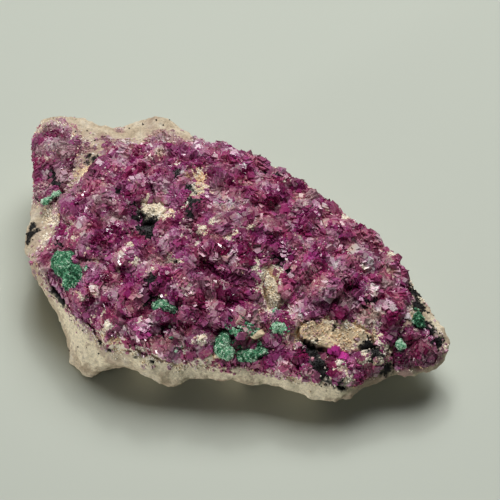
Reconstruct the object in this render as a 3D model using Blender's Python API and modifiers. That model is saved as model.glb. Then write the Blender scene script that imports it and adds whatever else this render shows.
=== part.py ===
"""Cobaltoan calcite with malachite: a loose hand specimen, lying on its underside.

A tan host rock carries three patches of magenta calcite druse, and tufts of green malachite sit on
both. The rock is one solid with a shallow bed cut for each druse. A druse is one solid too: a thin
crust with its rhombic crystals fused to it. Each malachite tuft is a solid in a well of its own.

+X runs along the stone to its pointed end, +Z is up, and the origin is on the table under the
middle of the stone. Every size below is in millimetres, and the finished solids are in metres.
"""

import math
import random

import bmesh
import bpy
from mathutils import Matrix, Vector, geometry, noise

METRES_PER_MM = 0.001

# The rim of the rock seen from above, anticlockwise from the pointed end. Each station is
# (x, y, height of the rim, height of the lower edge of the wall, how far that edge stands out).
RIM = [
    (25.9, 1.1, 5.0, 3.4, 0.2), (21.9, 4.0, 6.2, 3.0, 0.2), (19.2, 5.5, 7.0, 2.8, 0.3),
    (17.5, 7.0, 7.6, 2.6, 0.1), (15.0, 8.1, 8.3, 2.6, -0.2), (12.8, 8.4, 8.9, 2.4, -0.2),
    (8.8, 9.4, 9.8, 2.2, 0.3), (4.3, 10.5, 10.6, 2.0, 0.4), (-1.4, 11.6, 11.3, 2.2, -0.3),
    (-6.3, 11.5, 11.3, 2.4, -0.2), (-8.9, 11.7, 11.0, 2.6, 0.6), (-12.0, 13.7, 10.1, 2.4, 0.0),
    (-14.2, 14.7, 9.8, 2.2, -0.6), (-15.7, 13.8, 9.5, 2.2, -0.3), (-17.6, 11.5, 9.0, 2.4, 0.4),
    (-20.1, 11.0, 9.2, 2.8, 0.3), (-22.8, 10.8, 9.5, 3.2, -0.3), (-25.3, 9.6, 9.5, 3.6, -0.7),
    (-26.0, 8.0, 9.3, 3.6, -0.8), (-24.6, 4.7, 9.0, 3.2, -0.6), (-23.3, 2.2, 8.9, 2.8, -0.4),
    (-22.0, 0.0, 8.7, 2.4, -0.2), (-21.3, -2.8, 8.2, 2.0, -0.4), (-20.5, -5.5, 7.6, 1.4, -0.7),
    (-18.2, -8.1, 7.2, 1.0, -0.8), (-15.6, -9.7, 6.8, 0.4, -0.4), (-12.7, -11.3, 6.5, -0.4, 0.6),
    (-9.3, -13.2, 6.2, -0.6, 1.9), (-7.4, -14.1, 6.0, 0.0, 0.7), (-5.8, -14.3, 5.9, 4.0, -0.2),
    (-3.6, -14.0, 5.8, 3.0, -0.1), (-0.1, -13.3, 5.4, 1.9, 0.4), (3.2, -11.8, 5.4, 2.2, 0.4),
    (6.1, -10.7, 5.2, 3.3, 0.2), (8.8, -9.9, 5.1, 2.7, 0.4), (11.8, -9.6, 4.9, 2.2, 0.4),
    (14.3, -9.0, 5.0, 1.8, 0.4), (17.4, -8.3, 4.7, 1.8, 0.0), (18.9, -6.5, 4.7, 2.5, 0.1),
    (20.4, -4.9, 4.9, 3.1, 0.3), (22.6, -3.3, 4.9, 3.4, 0.2), (25.1, -1.0, 4.9, 3.4, 0.1),
]
CENTRE = Vector((-2.0, 1.5))
CROWN = 12.0  # height of the rock at the centre
DOME = 1.7  # how the top falls to the rim: 1 is a cone, and more is flatter in the middle

WALL_BOTTOM = math.radians(-27)  # the wall ends and the underside starts at this latitude
SEAT_REACH = 0.66  # the underside comes down to the table at this share of the way out
SEAT_DEPTH = 0.35  # and this far below it, before it is cut off flat
ROCK_VOXEL = 0.7
ROCK_TRIANGLES = 1750

# A druse is a crust from CRUST_LOW to CRUST_HIGH above the rock's top, in a bed cut to BED_LOW.
BED_LOW = -0.95
CRUST_LOW = -0.6
CRUST_HIGH = 0.5
SHORE = 2.5  # the crust and its crystals grow to their full height over this, from the border in
THROWS = 3000  # tries at finding room for one more crystal
GAP = 0.35  # room between a druse or a tuft and what it sits in
GRID_STEP = 3.0
TALL = 20.0  # taller than the whole stone, for blocks that cut
RHOMB_FLATNESS = 0.7  # a cube pressed along its diagonal by this is a calcite rhomb

MAIN_OUTLINE = [
    (-18.2, -1.0), (-16.8, 1.6), (-16.4, 4.2), (-15.6, 6.8), (-13.6, 8.2), (-11.0, 9.0), (-8.6, 10.2),
    (-6.2, 11.2), (-1.4, 11.5), (1.4, 10.5), (4.4, 10.4), (8.8, 9.3), (12.8, 8.3), (15.6, 7.5),
    (18.0, 6.2), (19.4, 3.4), (20.0, 0.4), (19.9, -1.8), (19.9, -4.4), (18.6, -6.4), (17.0, -7.9),
    (14.6, -8.7), (11.6, -9.2), (8.8, -9.5), (6.2, -10.2), (4.2, -11.0), (1.2, -12.3), (-1.0, -13.0),
    (-3.6, -13.3), (-6.5, -13.8), (-9.4, -12.6), (-12.6, -10.9), (-15.2, -9.4), (-17.2, -7.6),
    (-16.6, -5.2), (-16.9, -3.2),
]
CORNER_OUTLINE = [
    (-24.5, 5.6), (-24.0, 7.8), (-21.7, 7.3), (-20.0, 6.7), (-19.6, 4.6), (-19.3, 2.6),
    (-18.9, 0.7), (-19.3, -1.2), (-21.0, -1.0), (-22.2, 1.0), (-23.6, 3.3),
]
TIP_OUTLINE = [
    (21.3, 0.1), (22.6, 0.6), (23.8, 0.2), (24.6, -0.6), (23.8, -1.9), (22.5, -2.9), (21.2, -3.7),
    (20.7, -2.6), (20.8, -1.2),
]
# Bare rock that shows through the main druse.
MIDDLE_WINDOW = [(5.6, -1.5), (7.4, -1.9), (8.6, -3.4), (8.7, -5.0), (7.2, -5.2), (6.0, -3.7)]
RIGHT_WINDOW = [
    (10.4, -5.6), (12.8, -3.2), (15.6, -2.2), (18.2, -2.2), (18.9, -3.6), (16.8, -5.6), (14.8, -6.2),
    (12.2, -6.8),
]
UPPER_WINDOW = [(-10.0, 0.1), (-7.7, 1.7), (-6.2, 0.7), (-6.4, -1.4), (-8.4, -2.2)]

# Each malachite tuft: name, where it sits (x, y), and its lumps (dx, dy, dz, radius).
TUFTS = {
    "malachite_tuft_left": ((-13.6, -8.6), [
        (-1.3, 0.8, 0.3, 0.85), (-0.5, 1.2, 0.3, 0.85), (-0.4, 0.2, 0.45, 0.9), (0.7, -0.2, 0.4, 0.85),
        (1.1, -0.4, 0.3, 0.7), (0.9, -1.2, 0.25, 0.75),
    ]),
    "malachite_strip_upper_left": ((-19.3, -1.1), [
        (-0.4, -0.9, 0.1, 0.4), (-0.1, -0.35, 0.25, 0.45), (0.1, 0.3, 0.25, 0.45), (0.3, 0.9, 0.1, 0.4),
    ]),
    "malachite_tuft_middle": ((-2.1, -9.5), [
        (-1.0, -0.1, 0.3, 0.5), (-0.25, 0.05, 0.45, 0.6), (0.6, 0.05, 0.3, 0.55), (1.05, 0.05, 0.15, 0.42),
    ]),
    "malachite_tuft_front": ((4.7, -9.7), [
        (-0.4, 2.0, 0.3, 0.55), (-0.3, 1.2, 0.35, 0.65), (-0.3, 0.1, 0.4, 0.85), (0.0, -0.8, 0.3, 0.75),
        (0.7, -1.0, 0.2, 0.6),
    ]),
    "malachite_tuft_front_right": ((7.5, -9.4), [
        (-0.9, -0.5, 0.2, 0.55), (0.0, -0.35, 0.3, 0.6), (0.6, 0.2, 0.3, 0.55), (1.0, 0.7, 0.2, 0.45),
    ]),
    "malachite_chip_middle": ((9.4, -6.6), [
        (-0.35, 0.0, 0.4, 0.5), (0.3, 0.15, 0.4, 0.5),
    ]),
    "malachite_ball_tip": ((21.7, 1.0), [(0.0, 0.0, 0.35, 0.7), (0.2, -0.2, 0.25, 0.55)]),
    "malachite_chip_tip": ((21.1, -2.3), [(-0.1, 0.2, 0.4, 0.5), (0.15, -0.2, 0.4, 0.5)]),
}
TUFT_VOXEL = 0.22
TUFT_TRIANGLES = 96


def stations_by_angle():
    """The rim's stations as (angle, reach, rim height, edge height, edge offset), right round."""
    stations = sorted(
        (math.atan2(y - CENTRE.y, x - CENTRE.x), (Vector((x, y)) - CENTRE).length, *rest)
        for x, y, *rest in RIM
    )
    angle, *rest = stations[0]
    return [*stations, (angle + 2 * math.pi, *rest)]


STATIONS = stations_by_angle()


def outline_at(angle):
    """Reach of the rim from the centre, rim height, edge height and edge offset at an angle."""
    if angle < STATIONS[0][0]:
        angle += 2 * math.pi
    for before, after in zip(STATIONS, STATIONS[1:]):
        if before[0] <= angle <= after[0]:
            share = (angle - before[0]) / (after[0] - before[0])
            return [a + (b - a) * share for a, b in zip(before[1:], after[1:])]
    raise ValueError("no station at this angle")


def dome(share_out, rim_height):
    """Height of the rock's top at this share of the way from the centre to the rim."""
    fall = share_out**DOME
    return rim_height * fall + CROWN * (1 - fall)


def top_height(x, y):
    """Height of the rock's top above the table, before its roughness."""
    out = Vector((x, y)) - CENTRE
    reach, rim_height, _, _ = outline_at(math.atan2(out.y, out.x))
    return dome(out.length / reach, rim_height)


def smooth_step(share):
    share = min(max(share, 0.0), 1.0)
    return share * share * (3 - 2 * share)


def rock_point(longitude, latitude):
    """Where a point of a unit sphere goes on the rock: the top, the wall or the underside."""
    reach, rim_height, edge_height, flare = outline_at(longitude)
    if latitude >= 0:
        distance = reach * (1 - latitude / (math.pi / 2))
        height = dome(distance / reach, rim_height)
    elif latitude >= WALL_BOTTOM:
        down = latitude / WALL_BOTTOM
        distance = reach + flare * down
        height = rim_height + (edge_height - rim_height) * down
    else:
        inwards = (WALL_BOTTOM - latitude) / (WALL_BOTTOM + math.pi / 2)
        distance = (reach + flare) * (1 - inwards)
        rise = smooth_step((1 - inwards - SEAT_REACH) / (1 - SEAT_REACH))
        height = -SEAT_DEPTH + (edge_height + SEAT_DEPTH) * rise
    return Vector((
        CENTRE.x + distance * math.cos(longitude),
        CENTRE.y + distance * math.sin(longitude),
        height,
    ))


def rock_relief(point, normal):
    """How far the broken surface stands out from the smooth shape: strongest where it is hidden."""
    hidden = smooth_step(0.5 - normal.z * 0.9)
    lumps = noise.noise(point * 0.17) * (0.35 + 0.55 * hidden)
    nearest = noise.voronoi(point * 0.3)[0][0]
    facets = (0.45 - nearest) * (0.35 + 0.8 * hidden)
    grain = noise.noise(point * 1.1) * 0.16
    return lumps + facets + grain


def add_object(name, mesh):
    obj = bpy.data.objects.new(name, mesh)
    bpy.context.scene.collection.objects.link(obj)
    return obj


def object_from(name, bm):
    mesh = bpy.data.meshes.new(name)
    bmesh.ops.recalc_face_normals(bm, faces=bm.faces)
    bm.to_mesh(mesh)
    bm.free()
    return add_object(name, mesh)


def modify(obj, kind, **settings):
    modifier = obj.modifiers.new(kind.title(), kind)
    for key, value in settings.items():
        setattr(modifier, key, value)


def bake(obj):
    """Replaces the object's mesh by what its modifiers make of it."""
    graph = bpy.context.evaluated_depsgraph_get()
    made = bpy.data.meshes.new_from_object(obj.evaluated_get(graph))
    obj.modifiers.clear()
    obj.data = made


def combine(obj, other, operation, **settings):
    modify(obj, "BOOLEAN", operation=operation, object=other, solver="EXACT", **settings)
    bake(obj)


def remove(*objects):
    for obj in objects:
        bpy.data.objects.remove(obj)


def keep_largest_body(obj):
    """Deletes crumbs that a cut has left loose."""
    bm = bmesh.new()
    bm.from_mesh(obj.data)
    unseen = set(bm.verts)
    bodies = []
    while unseen:
        body, edge_of_body = set(), [unseen.pop()]
        while edge_of_body:
            vert = edge_of_body.pop()
            body.add(vert)
            near = {edge.other_vert(vert) for edge in vert.link_edges} & unseen
            unseen -= near
            edge_of_body.extend(near)
        bodies.append(body)
    largest = max(bodies, key=len)
    loose = [vert for body in bodies if body is not largest for vert in body]
    bmesh.ops.delete(bm, geom=loose, context="VERTS")
    bm.to_mesh(obj.data)
    bm.free()


def thin_out(obj, triangles):
    """Brings the mesh down to about this many triangles, keeping its shape."""
    modify(obj, "TRIANGULATE")
    bake(obj)
    modify(obj, "DECIMATE", ratio=min(1.0, triangles / len(obj.data.polygons)))
    bake(obj)


def swell(obj, distance):
    """Moves every point out along its normal."""
    modify(obj, "DISPLACE", strength=distance, mid_level=0.0)
    bake(obj)


def make_rock():
    bm = bmesh.new()
    bmesh.ops.create_uvsphere(bm, u_segments=120, v_segments=48, radius=1.0)
    for vert in bm.verts:
        x, y, z = vert.co
        vert.co = rock_point(math.atan2(y, x), math.asin(min(max(z, -1.0), 1.0)))
    rock = object_from("matrix_rock", bm)
    modify(rock, "REMESH", mode="VOXEL", voxel_size=ROCK_VOXEL)
    bake(rock)
    normals = [vert.normal.copy() for vert in rock.data.vertices]
    for vert, normal in zip(rock.data.vertices, normals):
        vert.co += normal * rock_relief(vert.co, normal)
    thin_out(rock, ROCK_TRIANGLES)
    return rock


def seat_flat(rock):
    """Cuts the underside off at the table, which leaves the flat places that the stone rests on."""
    bm = bmesh.new()
    bmesh.ops.create_cube(bm, size=1.0)
    bmesh.ops.scale(bm, vec=(90, 70, TALL), verts=bm.verts)
    bmesh.ops.translate(bm, vec=(0, 0, -TALL / 2), verts=bm.verts)
    ground = object_from("ground_cutter", bm)
    combine(rock, ground, "DIFFERENCE")
    remove(ground)


def ragged(outline, wander=0.4, pieces=2):
    """The outline with each side parted and made uneven."""
    middle = sum((Vector(point) for point in outline), Vector((0, 0))) / len(outline)
    points = []
    for start, end in zip(outline, outline[1:] + outline[:1]):
        for piece in range(pieces):
            point = Vector(start).lerp(Vector(end), piece / pieces)
            uneven = noise.noise(Vector((point.x * 0.9, point.y * 0.9, 3.0))) * wander
            points.append(point + (point - middle).normalized() * uneven)
    return points


def grown(outline, distance):
    """The outline moved outwards by the distance on all sides."""
    following = outline[1:] + outline[:1]
    anticlockwise = sum(a.cross(b) for a, b in zip(outline, following)) > 0
    points = []
    for before, point, after in zip(outline[-1:] + outline[:-1], outline, following):
        along = (after - before).normalized() * (1 if anticlockwise else -1)
        points.append(point + Vector((along.y, -along.x)) * distance)
    return points


def inside(point, outline):
    """Whether the point lies in the closed outline."""
    crossings = 0
    for start, end in zip(outline, outline[1:] + outline[:1]):
        if (start[1] > point[1]) != (end[1] > point[1]):
            share = (point[1] - start[1]) / (end[1] - start[1])
            crossings += point[0] < start[0] + share * (end[0] - start[0])
    return crossings % 2 == 1


def growth(point, loops):
    """How well grown the druse is here: 0 at its border and outside, and 1 well inside."""
    if not inside(point, loops[0]) or any(inside(point, window) for window in loops[1:]):
        return 0.0
    spot = Vector(point)
    nearest = SHORE
    for loop in loops:
        for start, end in zip(loop, loop[1:] + loop[:1]):
            _, share = geometry.intersect_point_line(spot, start, end)
            foot = Vector(start).lerp(Vector(end), min(max(share, 0.0), 1.0))
            nearest = min(nearest, (spot - foot).length)
    return smooth_step(nearest / SHORE)


def prism(name, loops):
    """A tall upright block of the first outline, with the others left open in it."""
    curve = bpy.data.curves.new(name, "CURVE")
    curve.dimensions = "2D"
    curve.fill_mode = "BOTH"
    curve.extrude = TALL
    for loop in loops:
        spline = curve.splines.new("POLY")
        spline.points.add(len(loop) - 1)
        for place, point in zip(spline.points, loop):
            place.co = (point[0], point[1], 0, 1)
        spline.use_cyclic_u = True
    flat = add_object(name + "_curve", curve)
    graph = bpy.context.evaluated_depsgraph_get()
    bm = bmesh.new()
    bm.from_mesh(bpy.data.meshes.new_from_object(flat.evaluated_get(graph)))
    remove(flat)
    bmesh.ops.remove_doubles(bm, verts=bm.verts, dist=0.0001)
    return object_from(name, bm)


def sheet_along_top(name, loops, low, high):
    """A slab that follows the rock's top from low to high above it, a little past the outline."""
    xs = [point[0] for point in loops[0]]
    ys = [point[1] for point in loops[0]]
    size_x, size_y = (max(v) - min(v) + 2 * GRID_STEP for v in (xs, ys))
    middle = ((max(xs) + min(xs)) / 2, (max(ys) + min(ys)) / 2, 0)
    bm = bmesh.new()
    across, along = math.ceil(size_x / GRID_STEP), math.ceil(size_y / GRID_STEP)
    bmesh.ops.create_grid(bm, x_segments=across, y_segments=along, size=0.5)
    bmesh.ops.scale(bm, vec=(size_x, size_y, 1), verts=bm.verts)
    bmesh.ops.translate(bm, vec=middle, verts=bm.verts)
    bmesh.ops.triangulate(bm, faces=bm.faces)
    raised = bmesh.ops.extrude_face_region(bm, geom=bm.faces[:])["geom"]
    upper = {element for element in raised if isinstance(element, bmesh.types.BMVert)}
    for vert in bm.verts:
        lift = high(vert.co.xy) if vert in upper else low
        vert.co.z = top_height(vert.co.x, vert.co.y) + lift
    return object_from(name, bm)


def crystal_places(loops, spacing, draw):
    """Places thrown at random and kept where there is room, which needs less near the border."""
    xs = [point[0] for point in loops[0]]
    ys = [point[1] for point in loops[0]]
    taken = []
    for _ in range(THROWS):
        spot = Vector((draw.uniform(min(xs), max(xs)), draw.uniform(min(ys), max(ys))))
        grown_up = growth(spot, loops)
        room = spacing * (0.6 + 0.4 * grown_up)
        if grown_up > 0 and all((spot - other).length > room for other in taken):
            taken.append(spot)
            yield spot.x, spot.y, grown_up


def add_crystal(bm, x, y, edge, grown_up, draw):
    """One calcite rhomb, its blunt corner up and leaning at random, half sunk in the crust."""
    edge *= 0.6 + 0.4 * grown_up
    corner_up = Vector((1, 1, 1)).rotation_difference(Vector((0, 0, 1))).to_matrix().to_4x4()
    flatten = Matrix.Diagonal((1, 1, RHOMB_FLATNESS, 1))
    lean = Matrix.Rotation(math.radians(draw.uniform(0, 50)), 4, "X")
    turn = Matrix.Rotation(draw.uniform(0, 2 * math.pi), 4, "Z")
    height = top_height(x, y) + CRUST_HIGH * grown_up - edge * draw.uniform(0.0, 0.25)
    place = Matrix.Translation((x, y, height))
    bmesh.ops.create_cube(bm, size=edge, matrix=place @ turn @ lean @ flatten @ corner_up)


def walled_block(name, border, loops, low):
    """Everything above a surface that follows the rock's top, inside the outline."""
    block = sheet_along_top(name, border, low, lambda spot: TALL / 2)
    walls = prism(name + "_walls", loops)
    combine(block, walls, "INTERSECT")
    remove(walls)
    return block


def make_druse(name, outline, windows, spacing, edges, seed):
    """A crust with its crystals fused to it, and the cutter that makes its bed in the rock."""
    draw = random.Random(seed)
    loops = [ragged(loop) for loop in [outline, *windows]]
    bm = bmesh.new()
    for x, y, grown_up in crystal_places(loops, spacing, draw):
        add_crystal(bm, x, y, draw.uniform(*edges), grown_up, draw)
    crystals = object_from(name + "_crystals", bm)
    druse = sheet_along_top(
        name, loops, CRUST_LOW - 0.3, lambda spot: CRUST_HIGH * growth(spot, loops)
    )
    combine(druse, crystals, "UNION", use_self=True)
    block = walled_block(name + "_block", loops, loops, CRUST_LOW)
    combine(druse, block, "INTERSECT")
    remove(crystals, block)
    keep_largest_body(druse)

    widened = [grown(loops[0], GAP)] + [grown(loop, -GAP) for loop in loops[1:]]
    bed = walled_block(name + "_bed", loops, widened, BED_LOW)
    return druse, bed


def make_tuft(name, place, lumps):
    """A cluster of rounded malachite lumps grown into one, and its well, which clears it all round."""
    ground = top_height(*place) + CRUST_HIGH
    bm = bmesh.new()
    for dx, dy, dz, radius in lumps:
        middle = Matrix.Translation((place[0] + dx, place[1] + dy, ground + dz))
        bmesh.ops.create_icosphere(bm, subdivisions=2, radius=radius, matrix=middle)
    tuft = object_from(name, bm)
    modify(tuft, "REMESH", mode="VOXEL", voxel_size=TUFT_VOXEL)
    bake(tuft)
    for vert, normal in [(v, v.normal.copy()) for v in tuft.data.vertices]:
        vert.co += normal * (noise.noise(vert.co * 1.6) * 0.22)
    thin_out(tuft, TUFT_TRIANGLES)
    tuft.data.shade_smooth()
    well = add_object(name + "_well", tuft.data.copy())
    swell(well, GAP)
    return tuft, well


def give_material(obj, name, colour, roughness, transmission=0.0):
    material = bpy.data.materials.get(name) or bpy.data.materials.new(name)
    material.use_nodes = True
    shader = material.node_tree.nodes["Principled BSDF"]
    shader.inputs["Base Color"].default_value = (*colour, 1.0)
    shader.inputs["Roughness"].default_value = roughness
    shader.inputs["Metallic"].default_value = 0.0
    shader.inputs["Transmission Weight"].default_value = transmission
    obj.data.materials.clear()
    obj.data.materials.append(material)


def to_metres(obj, collection):
    obj.data.transform(Matrix.Scale(METRES_PER_MM, 4))
    bpy.context.scene.collection.objects.unlink(obj)
    collection.objects.link(obj)


def main():
    remove(*bpy.data.objects)
    stone = bpy.data.collections.new("cobaltoan_calcite_specimen")
    bpy.context.scene.collection.children.link(stone)

    rock = make_rock()
    seat_flat(rock)
    windows = [MIDDLE_WINDOW, RIGHT_WINDOW, UPPER_WINDOW]
    druses = []
    for name, outline, openings, spacing, edges, seed in (
        ("calcite_druse_main", MAIN_OUTLINE, windows, 2.35, (2.1, 3.0), 11),
        ("calcite_druse_corner", CORNER_OUTLINE, [], 2.1, (1.9, 2.6), 12),
        ("calcite_druse_tip", TIP_OUTLINE, [], 1.9, (1.8, 2.4), 13),
    ):
        druse, bed = make_druse(name, outline, openings, spacing, edges, seed)
        combine(rock, bed, "DIFFERENCE")
        remove(bed)
        druses.append(druse)

    pairs = [make_tuft(name, place, lumps) for name, (place, lumps) in TUFTS.items()]
    tufts = [tuft for tuft, well in pairs]
    wells = [well for tuft, well in pairs]
    for well in wells[1:]:
        combine(wells[0], well, "UNION")
    for host in [rock, *druses]:
        combine(host, wells[0], "DIFFERENCE")
        keep_largest_body(host)
    remove(*wells)
    give_material(rock, "host_rock", (0.52, 0.43, 0.29), 0.9)
    for druse in druses:
        give_material(druse, "cobaltoan_calcite", (0.36, 0.05, 0.17), 0.25, 0.3)
    for tuft in tufts:
        give_material(tuft, "malachite", (0.04, 0.25, 0.13), 0.7)
    for obj in [rock, *druses, *tufts]:
        to_metres(obj, stone)


main()
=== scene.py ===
# %% [markdown]
# # Cobaltoan calcite with malachite
# This lesson dresses a mineral specimen about 51 mm long: a tan host rock under a crust of magenta
# calcite crystals, with a few tufts of green malachite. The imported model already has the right
# shapes at the right places, but it is coarse. Each step below grows the fine surface on it.

import math

import bpy
import numpy as np
from mathutils import Matrix, Vector, noise
from mathutils.bvhtree import BVHTree


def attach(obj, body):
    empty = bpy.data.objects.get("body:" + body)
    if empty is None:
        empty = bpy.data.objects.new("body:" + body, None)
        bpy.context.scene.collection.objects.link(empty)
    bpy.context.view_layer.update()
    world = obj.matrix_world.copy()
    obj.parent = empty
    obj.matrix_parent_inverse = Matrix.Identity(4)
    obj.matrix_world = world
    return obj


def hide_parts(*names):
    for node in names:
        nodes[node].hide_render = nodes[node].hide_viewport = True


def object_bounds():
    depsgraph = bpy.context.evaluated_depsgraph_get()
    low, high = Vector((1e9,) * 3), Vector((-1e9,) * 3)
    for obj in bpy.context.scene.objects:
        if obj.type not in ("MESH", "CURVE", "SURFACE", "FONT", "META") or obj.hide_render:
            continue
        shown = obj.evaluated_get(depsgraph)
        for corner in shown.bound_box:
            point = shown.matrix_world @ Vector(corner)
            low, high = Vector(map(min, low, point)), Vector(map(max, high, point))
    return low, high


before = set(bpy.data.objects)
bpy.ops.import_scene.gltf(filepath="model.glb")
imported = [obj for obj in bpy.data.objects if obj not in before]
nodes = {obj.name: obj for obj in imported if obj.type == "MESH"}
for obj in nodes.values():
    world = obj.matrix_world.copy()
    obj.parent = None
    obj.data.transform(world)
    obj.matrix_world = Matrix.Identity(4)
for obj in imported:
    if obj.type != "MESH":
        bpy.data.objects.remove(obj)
cad_box = [list(corner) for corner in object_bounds()]
MM = 0.001
print("CAD nodes:", ", ".join(sorted(nodes)))

# %% [markdown]
# ## The camera
# The photograph looks down on the stone at 50 degrees, a little from the right of its front, with
# a long lens, so far and near parts are almost the same size. The view is given by angles, the
# distance and the width that it covers, and the lens is worked out from those. One pixel of the
# photograph is then 0.105 mm on the stone.

# %% Place the camera
PHOTO_SIDE = 500
AZIMUTH = math.radians(24)
ELEVATION = math.radians(50)
DISTANCE = 320 * MM
FIELD = 52.5 * MM
SENSOR = 36.0
AIM = Vector((0, 0, 7 * MM))
AIM_PIXEL = (222.8, 264.0)

towards_camera = Vector((
    math.sin(AZIMUTH) * math.cos(ELEVATION),
    -math.cos(AZIMUTH) * math.cos(ELEVATION),
    math.sin(ELEVATION),
))
to_the_right = Vector((math.cos(AZIMUTH), math.sin(AZIMUTH), 0))
upwards = towards_camera.cross(to_the_right)
PIXEL = FIELD / PHOTO_SIDE


def in_view(x, y):
    """The place of a pixel of the photograph on the plane through the aim that faces the camera."""
    across = (x - AIM_PIXEL[0]) * PIXEL
    down = (y - AIM_PIXEL[1]) * PIXEL
    return AIM + to_the_right * across - upwards * down


camera_data = bpy.data.cameras.new("camera")
camera_data.sensor_width = SENSOR
camera_data.lens = SENSOR * DISTANCE / FIELD
camera_data.clip_start = 10 * MM
camera = bpy.data.objects.new("camera", camera_data)
bpy.context.scene.collection.objects.link(camera)
eye = in_view(PHOTO_SIDE / 2, PHOTO_SIDE / 2) + towards_camera * DISTANCE
camera.matrix_world = Matrix.Translation(eye) @ Matrix((
    to_the_right, upwards, towards_camera
)).transposed().to_4x4()
bpy.context.scene.camera = camera
print("lens", round(camera_data.lens, 1), "mm")

# %% [markdown]
# ## From the photograph to the stone
# Spots such as a pale crystal or a black stain are easiest to name by where they are in the
# photograph. A ray from the camera through that pixel meets the stone at the spot itself, so the
# spot sits on the surface from any side. All nodes go in one search tree for those rays.


# %% Find spots on the stone
def tree_of(pieces):
    """A search tree of the surfaces of these objects."""
    corners = []
    triangles = []
    for piece in pieces:
        piece.data.calc_loop_triangles()
        start = len(corners)
        corners += [vertex.co.copy() for vertex in piece.data.vertices]
        triangles += [[start + i for i in t.vertices] for t in piece.data.loop_triangles]
    return BVHTree.FromPolygons(corners, triangles)


whole_stone = tree_of(nodes.values())
MIDDLE_PIXEL = (230, 255)
MOST_STEPS = 30


def on_stone(x, y):
    """The place on the stone that a pixel shows. One past the outline is moved inwards."""
    for _ in range(MOST_STEPS):
        place = whole_stone.ray_cast(eye, in_view(x, y) - eye)[0]
        if place is not None:
            return place
        x += math.copysign(1, MIDDLE_PIXEL[0] - x)
        y += math.copysign(1, MIDDLE_PIXEL[1] - y)
    raise ValueError(f"no stone near pixel {x}, {y}")


print("the pale block is at", [round(v / MM, 1) for v in on_stone(223, 287)], "mm")

# %% [markdown]
# ## Floor and light
# The stone lies on a pale, slightly green-grey floor. Its main light is a soft window high behind
# it. A small light low at the front left brightens the front wall, which the window leaves in
# shade, and a narrow one behind makes the small bright glints on crystal faces. The Standard view
# keeps the strong magenta, which the default view would wash out.

# %% Build the stage
bpy.context.scene.view_settings.view_transform = "Standard"
FLOOR_SIDE = 1.6
FLOOR_DROP = 0.02 * MM
FLOOR_COLOUR = (0.55, 0.60, 0.53, 1)
FLOOR_ROUGHNESS = 0.6
ROOM_COLOUR = (0.93, 0.97, 1.0, 1)
ROOM_STRENGTH = 0.02
DAYLIGHT = (1.0, 0.98, 0.95)

bpy.ops.mesh.primitive_plane_add(size=FLOOR_SIDE, location=(0, 0, -FLOOR_DROP))
floor = bpy.context.object
floor.name = "floor"
floor_finish = bpy.data.materials.new("floor_finish")
floor_finish.use_nodes = True
floor_shader = floor_finish.node_tree.nodes["Principled BSDF"]
floor_shader.inputs["Base Color"].default_value = FLOOR_COLOUR
floor_shader.inputs["Roughness"].default_value = FLOOR_ROUGHNESS
floor.data.materials.append(floor_finish)

world = bpy.data.worlds.new("dim_room")
world.use_nodes = True
room = world.node_tree.nodes["Background"]
room.inputs["Color"].default_value = ROOM_COLOUR
room.inputs["Strength"].default_value = ROOM_STRENGTH
bpy.context.scene.world = world


def add_light(name, place, side, power, colour=(1, 1, 1)):
    """A square soft light that faces the stone."""
    data = bpy.data.lights.new(name, "AREA")
    data.size = side
    data.energy = power
    data.color = colour
    light = bpy.data.objects.new(name, data)
    bpy.context.scene.collection.objects.link(light)
    light.location = place
    light.rotation_euler = (Vector(place) - AIM).to_track_quat("Z", "Y").to_euler()


add_light("window", (-0.07, 0.28, 0.50), side=0.40, power=3.20, colour=DAYLIGHT)
add_light("side_light", (-0.34, -0.44, 0.035), side=0.06, power=1.45, colour=DAYLIGHT)
add_light("glint_light", (-0.14, 0.32, 0.42), side=0.06, power=0.30)
print("floor and lights ready")

# %% [markdown]
# ## Helpers for copies of the solids
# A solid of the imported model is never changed. A copy of it has its loose triangles merged first.
# Voxel remeshing then gives it an even skin of small faces, and Displace modifiers with
# procedural textures push that skin in and out, coarse lumps first and fine grain last.

# %% Copy, remesh and displace
MERGE = 0.001 * MM


def show_alone(piece):
    """Selects this piece and nothing else."""
    bpy.ops.object.select_all(action="DESELECT")
    piece.select_set(True)
    bpy.context.view_layer.objects.active = piece


def copy_of(node, name):
    """A new piece with the merged mesh of a node."""
    piece = bpy.data.objects.new(name, nodes[node].data.copy())
    bpy.context.scene.collection.objects.link(piece)
    piece.data.materials.clear()
    show_alone(piece)
    bpy.ops.object.mode_set(mode="EDIT")
    bpy.ops.mesh.select_all(action="SELECT")
    bpy.ops.mesh.remove_doubles(threshold=MERGE)
    bpy.ops.object.mode_set(mode="OBJECT")
    return piece


def apply_modifier(piece, kind, **settings):
    """Adds a modifier with these settings and applies it."""
    show_alone(piece)
    modifier = piece.modifiers.new(kind, kind)
    for key, value in settings.items():
        setattr(modifier, key, value)
    bpy.ops.object.modifier_apply(modifier=modifier.name)


def skin(piece, voxel, smoothing):
    """An even skin of small faces, with its edges rounded by the smoothing."""
    apply_modifier(piece, "REMESH", mode="VOXEL", voxel_size=voxel, use_smooth_shade=True)
    apply_modifier(piece, "SMOOTH", factor=0.5, iterations=smoothing)


def swell(piece, depth):
    """Moves the whole surface outwards by this depth."""
    apply_modifier(piece, "DISPLACE", strength=depth, mid_level=0.0)


def roughen(piece, *layers):
    """Pushes the surface in and out, once for each (size of lumps, depth) in millimetres."""
    for lump, depth in layers:
        texture = bpy.data.textures.new(f"{piece.name}_clouds", "CLOUDS")
        texture.noise_scale = lump * MM
        apply_modifier(piece, "DISPLACE", texture=texture, texture_coords="LOCAL",
                       strength=depth * MM, mid_level=0.5)


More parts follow.
